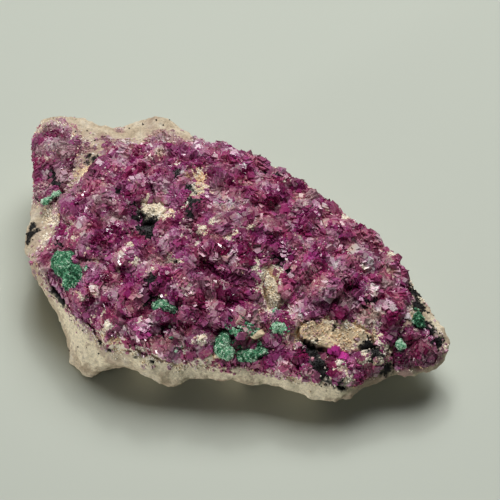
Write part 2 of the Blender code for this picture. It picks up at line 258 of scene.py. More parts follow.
def settle(piece, slot, finish, *replaced):
    """Gives a finished piece its material and its place in the model."""
    piece.data.materials.clear()
    piece.data.materials.append(finish)
    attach(piece, "root")
    if replaced:
        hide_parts(*replaced)
    triangles = sum(len(face.vertices) - 2 for face in piece.data.polygons)
    print(piece.name, triangles, "triangles")


print("loose triangles in the packed rock:", len(nodes["matrix_rock"].data.polygons))

# %% [markdown]
# ## Helpers for materials
# Every finish starts from Blender's Principled shader. Patterns read Object coordinates, scaled
# so that one unit is a millimetre, which keeps the sizes of grains and stains easy to read.


# %% Make a finish
class Finish:
    """A material under construction, with short calls for the nodes that this stone needs."""

    def __init__(self, name, roughness, **values):
        self.material = bpy.data.materials.new(name)
        self.material.use_nodes = True
        self.tree = self.material.node_tree
        self.shader = self.tree.nodes["Principled BSDF"]
        self.shader.inputs["Roughness"].default_value = roughness
        for key, value in values.items():
            self.shader.inputs[key].default_value = value
        scale = self.node("ShaderNodeMapping")
        scale.inputs["Scale"].default_value = (1 / MM, 1 / MM, 1 / MM)
        self.join(self.node("ShaderNodeTexCoord").outputs["Object"], scale.inputs["Vector"])
        self.millimetres = scale.outputs["Vector"]

    def node(self, kind):
        return self.tree.nodes.new(kind)

    def join(self, output, socket):
        self.tree.links.new(output, socket)

    def noise(self, per_mm, detail=3.0, roughness=0.55):
        """Cloudy values from 0 to 1."""
        node = self.node("ShaderNodeTexNoise")
        node.inputs["Scale"].default_value = per_mm
        node.inputs["Detail"].default_value = detail
        node.inputs["Roughness"].default_value = roughness
        self.join(self.millimetres, node.inputs["Vector"])
        return node.outputs["Fac"]

    def attribute(self, name):
        node = self.node("ShaderNodeAttribute")
        node.attribute_name = name
        return node.outputs["Fac"]

    def ramp(self, value, stops):
        """Colours or greys along a value. A stop is (place, colour or grey)."""
        node = self.node("ShaderNodeValToRGB")
        elements = node.color_ramp.elements
        while len(elements) < len(stops):
            elements.new(0.5)
        for element, (place, shade) in zip(elements, stops):
            element.position = place
            element.color = (shade, shade, shade, 1) if isinstance(shade, float) else (*shade, 1)
        self.join(value, node.inputs["Fac"])
        return node.outputs["Color"]

    def mix(self, share, first, second, blend="MIX"):
        """Mixes two colours, each an output or a plain colour."""
        node = self.node("ShaderNodeMix")
        node.data_type = "RGBA"
        node.blend_type = blend
        for socket, value in (("Factor_Float", share), ("A_Color", first), ("B_Color", second)):
            target = next(s for s in node.inputs if s.identifier == socket)
            if isinstance(value, bpy.types.NodeSocket):
                self.join(value, target)
            else:
                target.default_value = value if isinstance(value, float) else (*value, 1)
        return next(s for s in node.outputs if s.identifier == "Result_Color")

    def add(self, first, second, operation="ADD"):
        """Adds two values, or joins them by another operation."""
        node = self.node("ShaderNodeMath")
        node.operation = operation
        for socket, value in zip(node.inputs, (first, second)):
            if isinstance(value, bpy.types.NodeSocket):
                self.join(value, socket)
            else:
                socket.default_value = value
        return node.outputs["Value"]

    def bump(self, height, strength, distance):
        node = self.node("ShaderNodeBump")
        node.inputs["Strength"].default_value = strength
        node.inputs["Distance"].default_value = distance
        self.join(height, node.inputs["Height"])
        self.join(node.outputs["Normal"], self.shader.inputs["Normal"])

    def colour(self, output):
        self.join(output, self.shader.inputs["Base Color"])


print("finish helper ready")

# %% [markdown]
# ## Patches on the stone
# The stone is patchy. Black manganese oxide sits on the rock and between the crystals. Cream and
# orange-tan rock shows through thin places of the crust. Cream patches along the walls are partly
# painted light: they brighten the rim as if it caught light from above. The crystals are deep wine
# here, hot pink there, then lilac or dull with dust. Each patch is named by its pixel in the
# photograph and its radius on the stone in millimetres. Noise breaks up each edge. That eats into
# small patches, so black and bare ones are then widened a little. Holes are widened more, so that
# the rock rises beyond their border.

# %% Name the patches
SPOTS = {
    "hole": [
        (153, 213, 2.0), (162, 222, 1.6), (197, 184, 1.2), (269, 276, 1.4), (272, 288, 1.5),
        (274, 301, 1.4), (306, 338, 1.5), (320, 340, 1.9), (335, 341, 1.9), (350, 342, 1.9),
        (366, 340, 1.7), (323, 352, 1.4), (340, 350, 1.4), (373, 350, 1.2),
    ],
    # Cream patches: in the holes they are the cream rock itself; along the front and left walls and at the
    # tip they are partly painted light, brightening the rim as if it caught light from above.
    "cream_and_painted_light": [
        (60, 300, 1.6), (68, 318, 1.8), (78, 338, 1.8), (92, 356, 1.5), (210, 367, 1.4), (228, 368, 1.5),
        (246, 368, 1.5), (264, 374, 1.5), (282, 381, 1.5), (298, 386, 1.8), (314, 389, 2.0),
        (330, 389, 1.8), (322, 382, 1.4), (306, 380, 1.2), (344, 384, 1.0), (310, 336, 1.6),
        (325, 336, 1.8), (340, 338, 1.8), (355, 338, 1.6), (370, 340, 1.5), (300, 334, 1.3),
        (380, 348, 1.2), (362, 348, 1.2), (269, 280, 1.4), (272, 295, 1.4), (152, 212, 1.6),
        (160, 220, 1.2), (160, 365, 1.4), (180, 369, 1.4), (195, 370, 1.2), (140, 362, 1.2),
        (434, 322, 0.9), (442, 350, 0.9), (420, 300, 0.8),
    ],
    "mauve": [
        (58, 126, 0.9), (155, 140, 1.2), (164, 137, 0.8), (125, 143, 0.7), (112, 143, 0.6),
        (66, 158, 1.3), (70, 172, 1.1), (66, 186, 0.7), (68, 294, 0.35), (74, 301, 0.35), (80, 309, 0.35),
        (86, 317, 0.35), (92, 325, 0.35), (98, 334, 0.4), (61, 262, 0.6), (56, 252, 0.6), (40, 200, 0.8),
        (45, 190, 0.8), (178, 142, 0.6), (88, 150, 0.8), (104, 138, 0.8), (60, 205, 1.0), (75, 195, 0.8),
        (56, 215, 0.7), (118, 130, 0.6), (160, 134, 0.8), (172, 137, 0.7), (84, 165, 0.5),
        (424, 302, 0.5), (405, 375, 0.7), (420, 368, 0.6),
    ],
    "green": [
        (229, 329, 0.8), (238, 331, 0.6), (255, 331, 0.6), (247, 328, 0.5), (242, 357, 0.7),
        (233, 354, 0.6), (249, 354, 0.5), (280, 292, 0.4), (243, 317, 0.3), (276, 312, 0.35),
        (191, 320, 0.3), (176, 350, 0.35), (174, 336, 0.4), (158, 330, 0.35), (170, 325, 0.3),
        (181, 345, 0.25), (216, 318, 0.2), (286, 329, 0.4), (269, 327, 0.3), (238, 349, 0.4),
        (228, 341, 0.7), (236, 344, 0.7), (244, 347, 0.6), (252, 350, 0.6), (260, 352, 0.5),
        (226, 351, 0.5), (214, 338, 0.5), (258, 344, 0.4), (231, 336, 0.5), (240, 340, 0.5),
        (222, 331, 0.5), (248, 341, 0.4), (234, 350, 0.6), (262, 346, 0.4), (62, 292, 0.3),
        (86, 270, 0.3), (416, 311, 0.3),
    ],
    "warm": [
        (197, 180, 1.2), (198, 190, 0.8), (306, 334, 1.0), (318, 333, 1.0), (334, 334, 1.4),
        (345, 340, 1.0), (217, 357, 0.8), (257, 338, 0.7), (300, 332, 1.2), (315, 328, 1.2),
        (86, 173, 1.0), (268, 272, 0.6), (325, 345, 1.0), (355, 336, 1.0), (368, 338, 0.8),
        (110, 342, 1.0),
    ],
    "black": [
        (307, 346, 0.7), (311, 352, 0.9), (316, 359, 1.0), (321, 367, 1.0), (325, 375, 0.8),
        (370, 349, 0.9), (374, 352, 0.7), (337, 382, 0.6), (387, 370, 0.5), (413, 293, 0.6),
        (418, 306, 0.7), (425, 326, 0.5), (431, 333, 0.4), (438, 341, 0.6), (400, 266, 0.3),
        (147, 227, 1.1), (138, 217, 0.6), (149, 235, 0.7), (130, 207, 0.3), (189, 189, 0.6),
        (193, 203, 0.8), (191, 213, 0.4), (175, 175, 0.4), (171, 205, 0.3), (53, 170, 0.4),
        (54, 177, 0.5), (55, 184, 0.5), (90, 156, 0.2), (94, 160, 0.2), (88, 163, 0.15), (33, 226, 0.2),
        (36, 232, 0.2), (30, 234, 0.25), (28, 240, 0.15), (58, 246, 0.4), (57, 293, 0.7), (62, 300, 0.6),
        (145, 298, 0.9), (152, 280, 0.5), (269, 260, 0.4), (279, 262, 0.4), (290, 273, 0.4),
        (238, 331, 0.5), (249, 358, 0.6), (243, 358, 0.6), (335, 326, 0.4), (366, 303, 0.3),
        (374, 300, 0.3), (161, 330, 0.4), (100, 343, 0.05), (111, 350, 0.05), (135, 357, 0.05),
        (152, 361, 0.1), (265, 174, 0.3), (278, 176, 0.3), (117, 192, 0.3), (96, 246, 0.05),
        (112, 262, 0.05), (130, 275, 0.1), (160, 280, 0.1), (176, 262, 0.05), (205, 262, 0.05),
        (120, 318, 0.1), (180, 318, 0.1), (96, 230, 0.05), (230, 310, 0.05), (150, 250, 0.1),
        (84, 245, 0.05), (166, 340, 0.1), (184, 336, 0.1),
    ],
    "bare": [
        (153, 212, 1.4), (163, 217, 1.0), (141, 225, 0.5), (197, 179, 1.2), (198, 188, 1.1),
        (187, 207, 0.5), (268, 273, 1.3), (269, 283, 1.5), (262, 272, 0.9), (277, 271, 0.9),
        (264, 291, 0.9), (280, 286, 1.0), (279, 296, 0.8), (268, 309, 0.6), (296, 378, 0.7),
        (308, 381, 0.8), (320, 384, 0.9), (332, 384, 0.9), (342, 380, 0.8), (302, 375, 0.6),
        (328, 379, 0.8), (286, 377, 0.5), (350, 377, 0.5), (72, 138, 0.3), (75, 147, 0.35),
        (75, 157, 0.35), (73, 167, 0.3), (60, 126, 0.4), (272, 294, 1.3), (274, 303, 1.0),
        (310, 338, 1.1), (325, 337, 1.4), (340, 338, 1.4), (355, 336, 1.2), (370, 338, 1.1),
        (323, 349, 0.9), (339, 366, 0.7), (316, 385, 1.2), (298, 333, 0.9), (312, 328, 0.9),
        (328, 325, 0.8), (345, 328, 0.8), (380, 338, 0.7), (360, 350, 0.8), (380, 352, 0.8),
        (366, 359, 0.8), (378, 361, 0.6), (386, 348, 0.6), (120, 353, 0.9), (135, 358, 0.8),
        (160, 361, 0.6), (180, 364, 0.6), (200, 363, 0.8), (211, 358, 0.9), (343, 345, 0.9),
        (286, 336, 0.5), (296, 340, 0.8), (310, 347, 0.4), (300, 344, 0.4), (362, 326, 0.7),
        (336, 321, 0.5), (303, 325, 0.8), (320, 321, 0.7), (354, 326, 0.8), (372, 330, 0.8),
        (383, 344, 0.6), (357, 349, 0.7), (328, 357, 0.5), (366, 352, 0.6), (143, 209, 0.9),
        (147, 205, 1.0), (160, 207, 1.0), (170, 212, 0.7), (192, 196, 0.6), (266, 268, 0.7),
        (262, 282, 0.5), (279, 300, 0.6), (258, 264, 0.5), (283, 278, 0.5), (270, 311, 0.5),
        (330, 371, 0.6), (345, 374, 0.5), (86, 173, 0.8), (82, 182, 0.6), (53, 217, 1.0), (45, 236, 0.6),
        (67, 183, 0.8), (213, 346, 0.7), (217, 356, 0.5), (201, 340, 0.6), (284, 333, 0.5),
        (237, 233, 0.5), (204, 230, 0.6), (197, 245, 0.5), (159, 251, 0.5), (173, 257, 0.7),
        (97, 261, 0.5), (152, 290, 0.5), (154, 271, 0.4), (86, 309, 0.5), (81, 297, 0.4), (110, 326, 0.7),
        (103, 335, 0.9), (118, 345, 1.1), (137, 350, 0.9), (153, 358, 0.7), (170, 362, 0.6),
        (272, 170, 0.7), (284, 183, 0.5), (346, 217, 0.5), (392, 252, 0.8), (411, 284, 0.6),
        (421, 299, 0.6), (178, 167, 0.4), (66, 232, 0.5), (72, 225, 0.4), (84, 232, 0.3), (75, 240, 0.4),
        (88, 250, 0.4), (118, 270, 0.4), (135, 262, 0.5), (182, 262, 0.4), (120, 300, 0.4),
        (105, 312, 0.5), (96, 318, 0.5), (140, 322, 0.4), (160, 300, 0.4), (228, 240, 0.4),
        (250, 228, 0.4), (212, 222, 0.4), (180, 240, 0.4), (130, 245, 0.35), (170, 345, 0.4),
        (186, 350, 0.4), (144, 310, 0.4),
    ],
    "pale": [
        (226, 207, 1.0), (247, 213, 0.6), (219, 220, 0.5), (237, 182, 0.4), (290, 217, 0.4),
        (312, 231, 0.5), (298, 240, 0.5), (311, 243, 0.6), (325, 226, 0.5), (333, 266, 0.5),
        (354, 250, 0.7), (367, 265, 0.7), (334, 266, 0.5), (390, 274, 0.6), (380, 270, 0.4),
        (371, 291, 0.7), (374, 313, 0.9), (358, 306, 0.4), (407, 317, 0.4), (415, 329, 0.4),
        (303, 318, 0.5), (213, 316, 0.4), (187, 286, 0.3), (106, 221, 0.4), (109, 240, 0.4),
        (122, 257, 0.6), (90, 256, 0.4), (46, 245, 0.4), (50, 159, 0.6), (150, 148, 0.4), (47, 175, 0.5),
        (44, 160, 0.4), (42, 186, 0.4), (95, 289, 0.7), (97, 304, 0.4), (283, 366, 0.9), (355, 370, 0.6),
        (130, 311, 0.5), (124, 330, 0.6), (182, 345, 0.5), (242, 166, 0.6), (163, 155, 0.9),
        (170, 200, 0.3), (50, 145, 0.8), (59, 155, 0.6), (46, 190, 0.7), (62, 168, 0.5), (240, 224, 0.8),
    ],
    "deep": [
        (142, 170, 0.9), (135, 161, 0.6), (156, 186, 0.6), (85, 203, 0.8), (77, 206, 0.5),
        (112, 232, 0.9), (140, 241, 0.7), (107, 247, 0.5), (132, 177, 0.7), (229, 185, 0.6),
        (246, 175, 0.8), (300, 189, 0.7), (272, 199, 1.0), (241, 250, 1.1), (226, 253, 0.7),
        (209, 268, 0.9), (221, 294, 0.8), (321, 258, 0.9), (338, 257, 0.8), (382, 301, 0.8),
        (392, 314, 0.9), (398, 327, 0.8), (389, 356, 0.6), (300, 356, 1.0), (127, 282, 0.9),
        (128, 301, 0.7), (106, 279, 0.8), (166, 321, 0.9), (233, 300, 1.2), (200, 305, 0.8),
        (87, 218, 0.6), (250, 262, 0.8), (98, 240, 0.6), (178, 296, 0.6), (355, 285, 1.0),
        (409, 349, 1.3), (398, 360, 0.9),
    ],
    "hot": [
        (161, 198, 0.5), (300, 260, 1.1), (278, 250, 0.8), (257, 233, 0.6), (282, 211, 0.8),
        (145, 334, 0.8), (168, 271, 0.7), (215, 333, 0.6), (200, 328, 0.6), (334, 349, 0.7),
        (340, 354, 0.8), (347, 360, 0.8), (355, 368, 0.6), (297, 371, 0.8), (127, 292, 0.6),
        (124, 306, 0.4), (112, 236, 0.5), (328, 275, 0.8), (268, 240, 0.6), (225, 270, 0.7),
        (75, 208, 0.4), (291, 300, 0.8), (108, 157, 0.5), (270, 366, 0.6),
    ],
    "dull": [
        (102, 202, 1.0), (117, 217, 1.0), (69, 167, 0.9), (62, 160, 0.8), (275, 205, 0.6),
        (310, 196, 0.9), (260, 300, 0.8), (210, 300, 0.6), (160, 262, 1.0), (190, 265, 0.7),
        (347, 300, 1.0), (360, 320, 0.9), (300, 210, 0.8), (330, 235, 0.8), (193, 355, 0.9),
        (203, 356, 0.7), (180, 335, 0.8), (150, 320, 0.7), (217, 195, 0.6), (185, 230, 0.9),
        (215, 240, 0.7), (415, 352, 1.5), (350, 245, 0.8), (290, 230, 0.7), (90, 262, 0.8),
        (75, 190, 0.9), (300, 290, 0.6), (254, 320, 0.8), (45, 190, 1.2), (385, 285, 0.8), (48, 168, 1.6),
        (60, 150, 1.6), (66, 140, 1.2), (52, 200, 1.4), (44, 150, 1.2), (58, 178, 1.2), (50, 132, 1.0),
        (72, 155, 0.9),
    ],
}


WIDER = {"black": 0.2, "bare": 0.1, "hole": 0.9}
RAGGED = 0.85
EDGE = 1.2
EDGE_WIDTH = 0.4
stone_spots = {
    kind: [(np.array(on_stone(x, y)), (radius + WIDER.get(kind, 0)) * MM) for x, y, radius in spots]
    for kind, spots in SPOTS.items()
}
print({kind: len(spots) for kind, spots in SPOTS.items()})

# %% [markdown]
# The patches are asked for at thousands of points at a time, and the answers are kept on the
# points of a piece as named numbers, which its material can read. The next helpers do that.


# %% Read the patches
def noise_at(places, size, shift=0.0):
    """Smooth noise at each place, about -1 to 1, with lumps of this size in millimetres."""
    move = Vector((shift, 0, 0))
    return np.array([noise.noise(Vector(place) / (size * MM) + move) for place in places])


def stained(places, kind):
    """How far inside the patches of a kind each place is: 1 inside, 0 from the ragged edge on."""
    nearest = np.full(len(places), np.inf)
    for centre, radius in stone_spots[kind]:
        nearest = np.minimum(nearest, np.linalg.norm(places - centre, axis=1) / radius)
    edge = RAGGED * (noise_at(places, 0.45, 7.0) + 0.6 * noise_at(places, 0.2, 9.0))
    return np.clip((EDGE - nearest + edge) / EDGE_WIDTH, 0, 1)


def paint(piece, name, values):
    """Keeps one number for each point of a piece, for its material to read."""
    attribute = piece.data.attributes.new(name, "FLOAT", "POINT")
    attribute.data.foreach_set("value", np.asarray(values, np.float32))


def points_of(piece):
    """The places of all points of a piece, as an array."""
    flat = np.empty(len(piece.data.vertices) * 3, np.float32)
    piece.data.vertices.foreach_get("co", flat)
    return flat.reshape(-1, 3)


def move_points(piece, places):
    """Puts all points of a piece at these places."""
    piece.data.vertices.foreach_set("co", np.asarray(places, np.float32).ravel())
    piece.data.update()


stone_points = points_of(nodes["matrix_rock"])
black_share = stained(stone_points, "black").mean()
print("share of the packed rock's points with black oxide:", round(float(black_share), 3))

# %% [markdown]
# ## The bed of the crust
# Under the crystals is a bed of tightly grown calcite, dark because little light gets out of it.
# Each crust solid is remeshed and smoothed a little, so its large rhombs stay as soft humps for
# the fine crystals to grow on. It is swollen a little, to close the gap between crust and rock.
# The beds come first, because the look of the rock beside them depends on how near they are.


# %% Finish of the bed
OXIDE_BLACK = (0.012, 0.012, 0.013)


def bed_finish():
    finish = Finish("calcite_bed_finish", 0.7, IOR=1.6)
    wine = finish.ramp(finish.noise(1.1, 4.0), [
        (0.35, (0.10, 0.014, 0.05)), (0.55, (0.24, 0.03, 0.12)), (0.7, (0.38, 0.13, 0.25)),
    ])
    bare = finish.mix(finish.attribute("bare"), wine, (0.95, 0.86, 0.69))
    finish.colour(finish.mix(finish.attribute("black"), bare, OXIDE_BLACK))
    finish.bump(finish.noise(5.0, 5.0, 0.7), 0.5, 0.05 * MM)
    return finish.material


calcite_bed_finish = bed_finish()
print("made", calcite_bed_finish.name)

# %% Model the beds
DRUSES = ["calcite_druse_main", "calcite_druse_corner", "calcite_druse_tip"]
BED_VOXEL = 0.33 * MM
CLOSING = 0.24 * MM
beds = []
for druse in DRUSES:
    bed = copy_of(druse, druse.replace("druse", "bed"))
    skin(bed, BED_VOXEL, smoothing=3)
    swell(bed, CLOSING)
    roughen(bed, (0.9, 0.40), (0.35, 0.20))
    places = points_of(bed)
    paint(bed, "bare", stained(places, "bare"))
    paint(bed, "black", stained(places, "black"))
    settle(bed, "cobaltoan_calcite", calcite_bed_finish, druse)
    beds.append(bed)
crust = tree_of(beds)


def crust_gap(places):
    """How far each place is from the crust, in millimetres."""
    return np.array([crust.find_nearest(Vector(place))[3] for place in places]) / MM


# %% [markdown]
# ## The host rock
# The rock is a fine-grained tan stone with a broken, sugary surface. Its copy is remeshed at a
# quarter of a millimetre, and displacements give it lumps, pits and grain. Where the crust has a
# hole, the rock bulges up into it, and beside the crust it rises a little to meet it. The colour
# mixes tan, cream, a warm orange-tan and a pinkish stain with dark specks. The cream along the
# walls is partly painted light, which brightens the rim as if it caught light from above. It
# blushes beside the crust and goes black where the oxide sits.


# %% Finish of the host rock
def rock_finish():
    finish = Finish("host_rock_finish", 0.88)
    tan = finish.ramp(finish.noise(0.6, 5.0, 0.65), [
        (0.32, (0.46, 0.36, 0.25)), (0.46, (0.63, 0.52, 0.37)), (0.58, (0.75, 0.65, 0.49)),
        (0.70, (0.80, 0.73, 0.59)),
    ])
    stain = finish.ramp(finish.noise(0.33, 4.0, 0.6), [(0.50, 0.0), (0.64, 0.42)])
    tan = finish.mix(stain, tan, (0.42, 0.27, 0.22))
    blush = finish.ramp(finish.noise(1.2, 4.0, 0.65), [(0.40, 0.0), (0.60, 1.0)])
    blush = finish.add(blush, finish.attribute("blush"), "MULTIPLY")
    tan = finish.mix(blush, tan, (0.30, 0.14, 0.17))
    tan = finish.mix(finish.add(finish.attribute("mauve"), 0.65, "MULTIPLY"), tan, (0.38, 0.19, 0.21))
    # On the walls the cream patches are partly painted light that brightens the rock as if lit from above;
    # in the holes they are the cream rock itself.
    tan = finish.mix(finish.add(finish.attribute("cream_and_painted_light"), 0.85, "MULTIPLY"), tan, (0.98, 0.87, 0.65))
    tan = finish.mix(finish.add(finish.attribute("warm"), 0.60, "MULTIPLY"), tan, (1.0, 0.76, 0.46))
    grain = finish.ramp(finish.noise(4.0, 4.0, 0.7), [(0.30, 0.62), (0.52, 1.0), (0.75, 1.25)])
    tan = finish.mix(1.0, tan, grain, "MULTIPLY")
    specks = finish.ramp(finish.noise(2.6, 2.0), [(0.69, 0.0), (0.73, 0.7)])
    specks = finish.add(specks, finish.attribute("high"), "MULTIPLY")
    tan = finish.mix(specks, tan, (0.06, 0.05, 0.04))
    finish.colour(finish.mix(finish.attribute("black"), tan, OXIDE_BLACK))
    finish.bump(finish.noise(6.0, 6.0, 0.7), 0.7, 0.07 * MM)
    return finish.material


host_rock_finish = rock_finish()
print("made", host_rock_finish.name)

# %% Model the host rock
ROCK_VOXEL = 0.25 * MM
BULGE = 0.45 * MM
FILLET = 0.55 * MM
FILLET_WIDTH = 0.6
BLUSH_WIDTH = 0.8
SPECKLED_WIDTH = 2.0
WALL_TOP = 4 * MM

rock = copy_of("matrix_rock", "host_rock")
skin(rock, ROCK_VOXEL, smoothing=2)
places = points_of(rock)
upward = np.empty(len(places) * 3, np.float32)
rock.data.vertices.foreach_get("normal", upward)
upward = np.clip(upward.reshape(-1, 3)[:, 2], 0, 1)
places[:, 2] += BULGE * stained(places, "hole") * upward
places[:, 2] += FILLET * np.exp(-crust_gap(places) / FILLET_WIDTH) * upward
move_points(rock, places)
roughen(rock, (1.5, 0.40), (0.6, 0.25), (0.28, 0.14))
places = points_of(rock)
places[:, 2] = np.maximum(places[:, 2], 0)
move_points(rock, places)
for kind in ("black", "mauve", "cream_and_painted_light", "warm"):
    paint(rock, kind, stained(places, kind))
gaps = crust_gap(places)
open_rock = 1 - np.maximum(stained(places, "hole"), stained(places, "bare"))
paint(rock, "blush", np.exp(-gaps / BLUSH_WIDTH) * (places[:, 2] > WALL_TOP) * open_rock)
paint(rock, "high", np.exp(-gaps / SPECKLED_WIDTH) * (0.3 + 0.7 * open_rock))
settle(rock, "host_rock", host_rock_finish, "matrix_rock")

# %% [markdown]
# ## Pattern shapes
# Calcite grows as rhombs, like a cube pressed along its diagonal, as thin blades of the same
# form, and as spindle-shaped dogteeth. Rock grains are small rounded lumps. One of each is
# modelled here as the pattern that thousands of copies follow, so each has only a few faces.


# %% Pattern shapes
SQUASH = 0.72


def pattern_of(piece):
    """The points and faces of a modelled pattern, which is then removed."""
    points = points_of(piece)
    faces = [list(face.vertices) for face in piece.data.polygons]
    bpy.data.objects.remove(piece)
    return points, faces


def on_its_corner(squash):
    """A unit cube stood on its corner and pressed along its height."""
    bpy.ops.object.select_all(action="DESELECT")
    bpy.ops.mesh.primitive_cube_add(size=1)
    piece = bpy.context.object
    upright = Vector((1, 1, 1)).rotation_difference(Vector((0, 0, 1))).to_matrix().to_4x4()
    piece.data.transform(Matrix.Diagonal((1, 1, squash, 1)) @ upright)
    return piece


def make_rhomb():
    return pattern_of(on_its_corner(SQUASH))


def make_blade():
    piece = on_its_corner(0.9)
    piece.data.transform(Matrix.Diagonal((0.38, 1.0, 1.15, 1)))
    return pattern_of(piece)


def make_dogtooth():
    bpy.ops.object.select_all(action="DESELECT")
    bpy.ops.mesh.primitive_cone_add(vertices=6, radius1=0.36, depth=1.0, end_fill_type="NGON")
    return pattern_of(bpy.context.object)


def make_grain():
    bpy.ops.object.select_all(action="DESELECT")
    bpy.ops.mesh.primitive_ico_sphere_add(subdivisions=1, radius=0.5)
    piece = bpy.context.object
    for vertex in piece.data.vertices:
        vertex.co *= 1 + 0.25 * noise.noise(vertex.co * 3)
    return pattern_of(piece)


def make_needle():
    bpy.ops.object.select_all(action="DESELECT")
    bpy.ops.mesh.primitive_cone_add(vertices=4, radius1=0.17, depth=1.0, end_fill_type="NGON")
    piece = bpy.context.object
    piece.data.transform(Matrix.Translation((0, 0, 0.3)))
    return pattern_of(piece)


RHOMB, BLADE, DOGTOOTH = make_rhomb(), make_blade(), make_dogtooth()
GRAIN, NEEDLE = make_grain(), make_needle()
print("faces:", [len(pattern[1]) for pattern in (RHOMB, BLADE, DOGTOOTH, GRAIN, NEEDLE)])

# %% [markdown]
# ## Scattering
# Places are drawn at random over the upward faces of a piece, in proportion to their area, and a
# place is kept only where it has room from those already kept. Every draw is seeded, so the stone
# is the same each time.


# %% Draw places with room
def draw_places(pieces, count, room, draw, lowest_slope=0.05):
    """Random places on the upward faces of pieces, with the surface's direction at each."""
    corners, triangles = [], []
    for piece in pieces:
        piece.data.calc_loop_triangles()
        start = sum(len(part) for part in corners)
        corners.append(points_of(piece))
        triangles.append(start + np.array([t.vertices[:] for t in piece.data.loop_triangles]))
    corners, triangles = np.concatenate(corners), np.concatenate(triangles)
    a, b, c = (corners[triangles[:, i]] for i in range(3))
    crosses = np.cross(b - a, c - a)
    areas = np.linalg.norm(crosses, axis=1)
    directions = crosses / np.maximum(areas, 1e-20)[:, None]
    areas = np.where(directions[:, 2] > lowest_slope, areas, 0)
    chosen = draw.choice(len(areas), count, p=areas / areas.sum())
    u, v = draw.random((2, count))
    flip = u + v > 1
    u, v = np.where(flip, 1 - u, u)[:, None], np.where(flip, 1 - v, v)[:, None]
    places = a[chosen] + (b - a)[chosen] * u + (c - a)[chosen] * v
    kept = with_room(places, room)
    return places[kept], directions[chosen][kept]


def with_room(places, room):
    """Which places are at least the room away from the ones kept before them."""
    cells = {}
    kept = []
    for index, place in enumerate(places.tolist()):
        home = tuple(math.floor(value / room) for value in place)
        near = [
            other
            for dx in (-1, 0, 1) for dy in (-1, 0, 1) for dz in (-1, 0, 1)
            for other in cells.get((home[0] + dx, home[1] + dy, home[2] + dz), ())
        ]
        if all(math.dist(place, other) > room for other in near):
            cells.setdefault(home, []).append(place)
            kept.append(index)
    return kept


print("of 11 places in a row", len(with_room(np.linspace((0, 0, 0), (1, 0, 0), 11), 0.25)), "have room")

# %% [markdown]
# All copies of a pattern are then worked out in one step with arrays, each turned, sized and
# leaned on its own, and become one joined mesh. Copies that would stand more than 0.3 mm above
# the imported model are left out.

# %% Turn and grow copies
HEADROOM = 0.3 * MM
highest = cad_box[1][2] + HEADROOM
print("nothing grows above", round(highest / MM, 2), "mm")


def unit(vectors):
    return vectors / np.linalg.norm(vectors, axis=1, keepdims=True)


def turned(directions, lean, draw):
    """Axes that stand on a surface with a random turn and lean."""
    count = len(directions)
    axis_z = unit(directions + lean * draw.normal(size=(count, 3)))
    axis_x = unit(np.cross(axis_z, draw.normal(size=(count, 3))))
    return np.stack([axis_x, np.cross(axis_z, axis_x), axis_z], axis=2)


def upright(count):
    """Directions that all point straight up."""
    return np.tile(np.array([[0.0, 0.0, 1.0]]), (count, 1))


def grow(name, pattern, places, axes, sizes, **marks):
    """One joined mesh of copies of a pattern, with numbers for its material to read."""
    points, faces = pattern
    corners = np.einsum("nij,pj->npi", axes, points) * np.asarray(sizes)[:, None, None]
    corners += places[:, None, :]
    fits = corners[:, :, 2].max(axis=1) < highest
    corners = corners[fits].reshape(-1, 3)
    starts = np.arange(fits.sum()) * len(points)
    joined = [[int(start) + i for i in face] for start in starts for face in faces]
    mesh = bpy.data.meshes.new(name)
    mesh.from_pydata(corners.tolist(), [], joined)
    piece = bpy.data.objects.new(name, mesh)
    bpy.context.scene.collection.objects.link(piece)
    for mark, values in marks.items():
        paint(piece, mark, np.repeat(np.asarray(values)[fits], len(points)))
    return piece


# %% [markdown]
# ## The crystals
# Cobalt colours the calcite from a pale lilac in thin crystals to a deep wine red in thick ones.
# Each crystal carries three numbers. Its tint goes from wine at 0 to almost white at 1, hot adds
# pure pink, and dull covers it with brownish dust and takes its gloss. They follow slow noise,
# the named patches and chance. The crystals let some light through, so the shader has
# transmission, and faint white veils run through them.


# %% Finish of the crystals
CLEAN_ROUGHNESS = 0.14


def crystal_finish():
    finish = Finish("calcite_crystal_finish", CLEAN_ROUGHNESS, IOR=1.6)
    clearness = finish.add(finish.add(finish.attribute("tint"), -0.32, "MULTIPLY"), 0.46)
    finish.join(clearness, finish.shader.inputs["Transmission Weight"])
    veils = finish.ramp(finish.noise(4.5, 5.0, 0.7), [(0.45, 0.0), (0.72, 0.42)])
    shade = finish.ramp(finish.add(finish.attribute("tint"), veils), [
        (0.0, (0.15, 0.006, 0.055)), (0.20, (0.34, 0.022, 0.16)), (0.42, (0.60, 0.095, 0.38)),
        (0.62, (0.74, 0.30, 0.54)), (0.80, (0.86, 0.60, 0.74)), (1.0, (0.97, 0.92, 0.95)),
    ])
    red = finish.ramp(finish.noise(0.5, 3.0), [(0.42, 0.0), (0.60, 0.7)])
    shade = finish.mix(red, shade, finish.mix(1.0, shade, (1.1, 0.9, 0.62), "MULTIPLY"))
    shade = finish.mix(finish.attribute("hot"), shade, (0.84, 0.08, 0.50))
    haze = finish.add(finish.attribute("dull"), 0.55, "MULTIPLY")
    shade = finish.mix(haze, shade, (0.46, 0.25, 0.33))
    dust = finish.add(finish.noise(9.0, 3.0, 0.7), finish.add(finish.attribute("dull"), 0.28, "MULTIPLY"))
    dust = finish.ramp(dust, [(0.69, 0.0), (0.79, 0.75)])
    finish.colour(finish.mix(dust, shade, (0.86, 0.74, 0.66)))
    rough = finish.add(finish.attribute("dull"), 0.45, "MULTIPLY")
    finish.join(finish.add(rough, CLEAN_ROUGHNESS), finish.shader.inputs["Roughness"])
    finish.bump(finish.noise(7.0, 3.0), 0.2, 0.02 * MM)
    return finish.material


calcite_crystal_finish = crystal_finish()
print("made", calcite_crystal_finish.name)

# %% [markdown]
# Neighbouring crystals often grew parallel, as parts of one larger crystal, which is why the
# real crust flashes in streaks and patches. So the crust is divided among a few hundred centres,
# each with its own turn and crystal size, and most crystals take those of the centre near them.

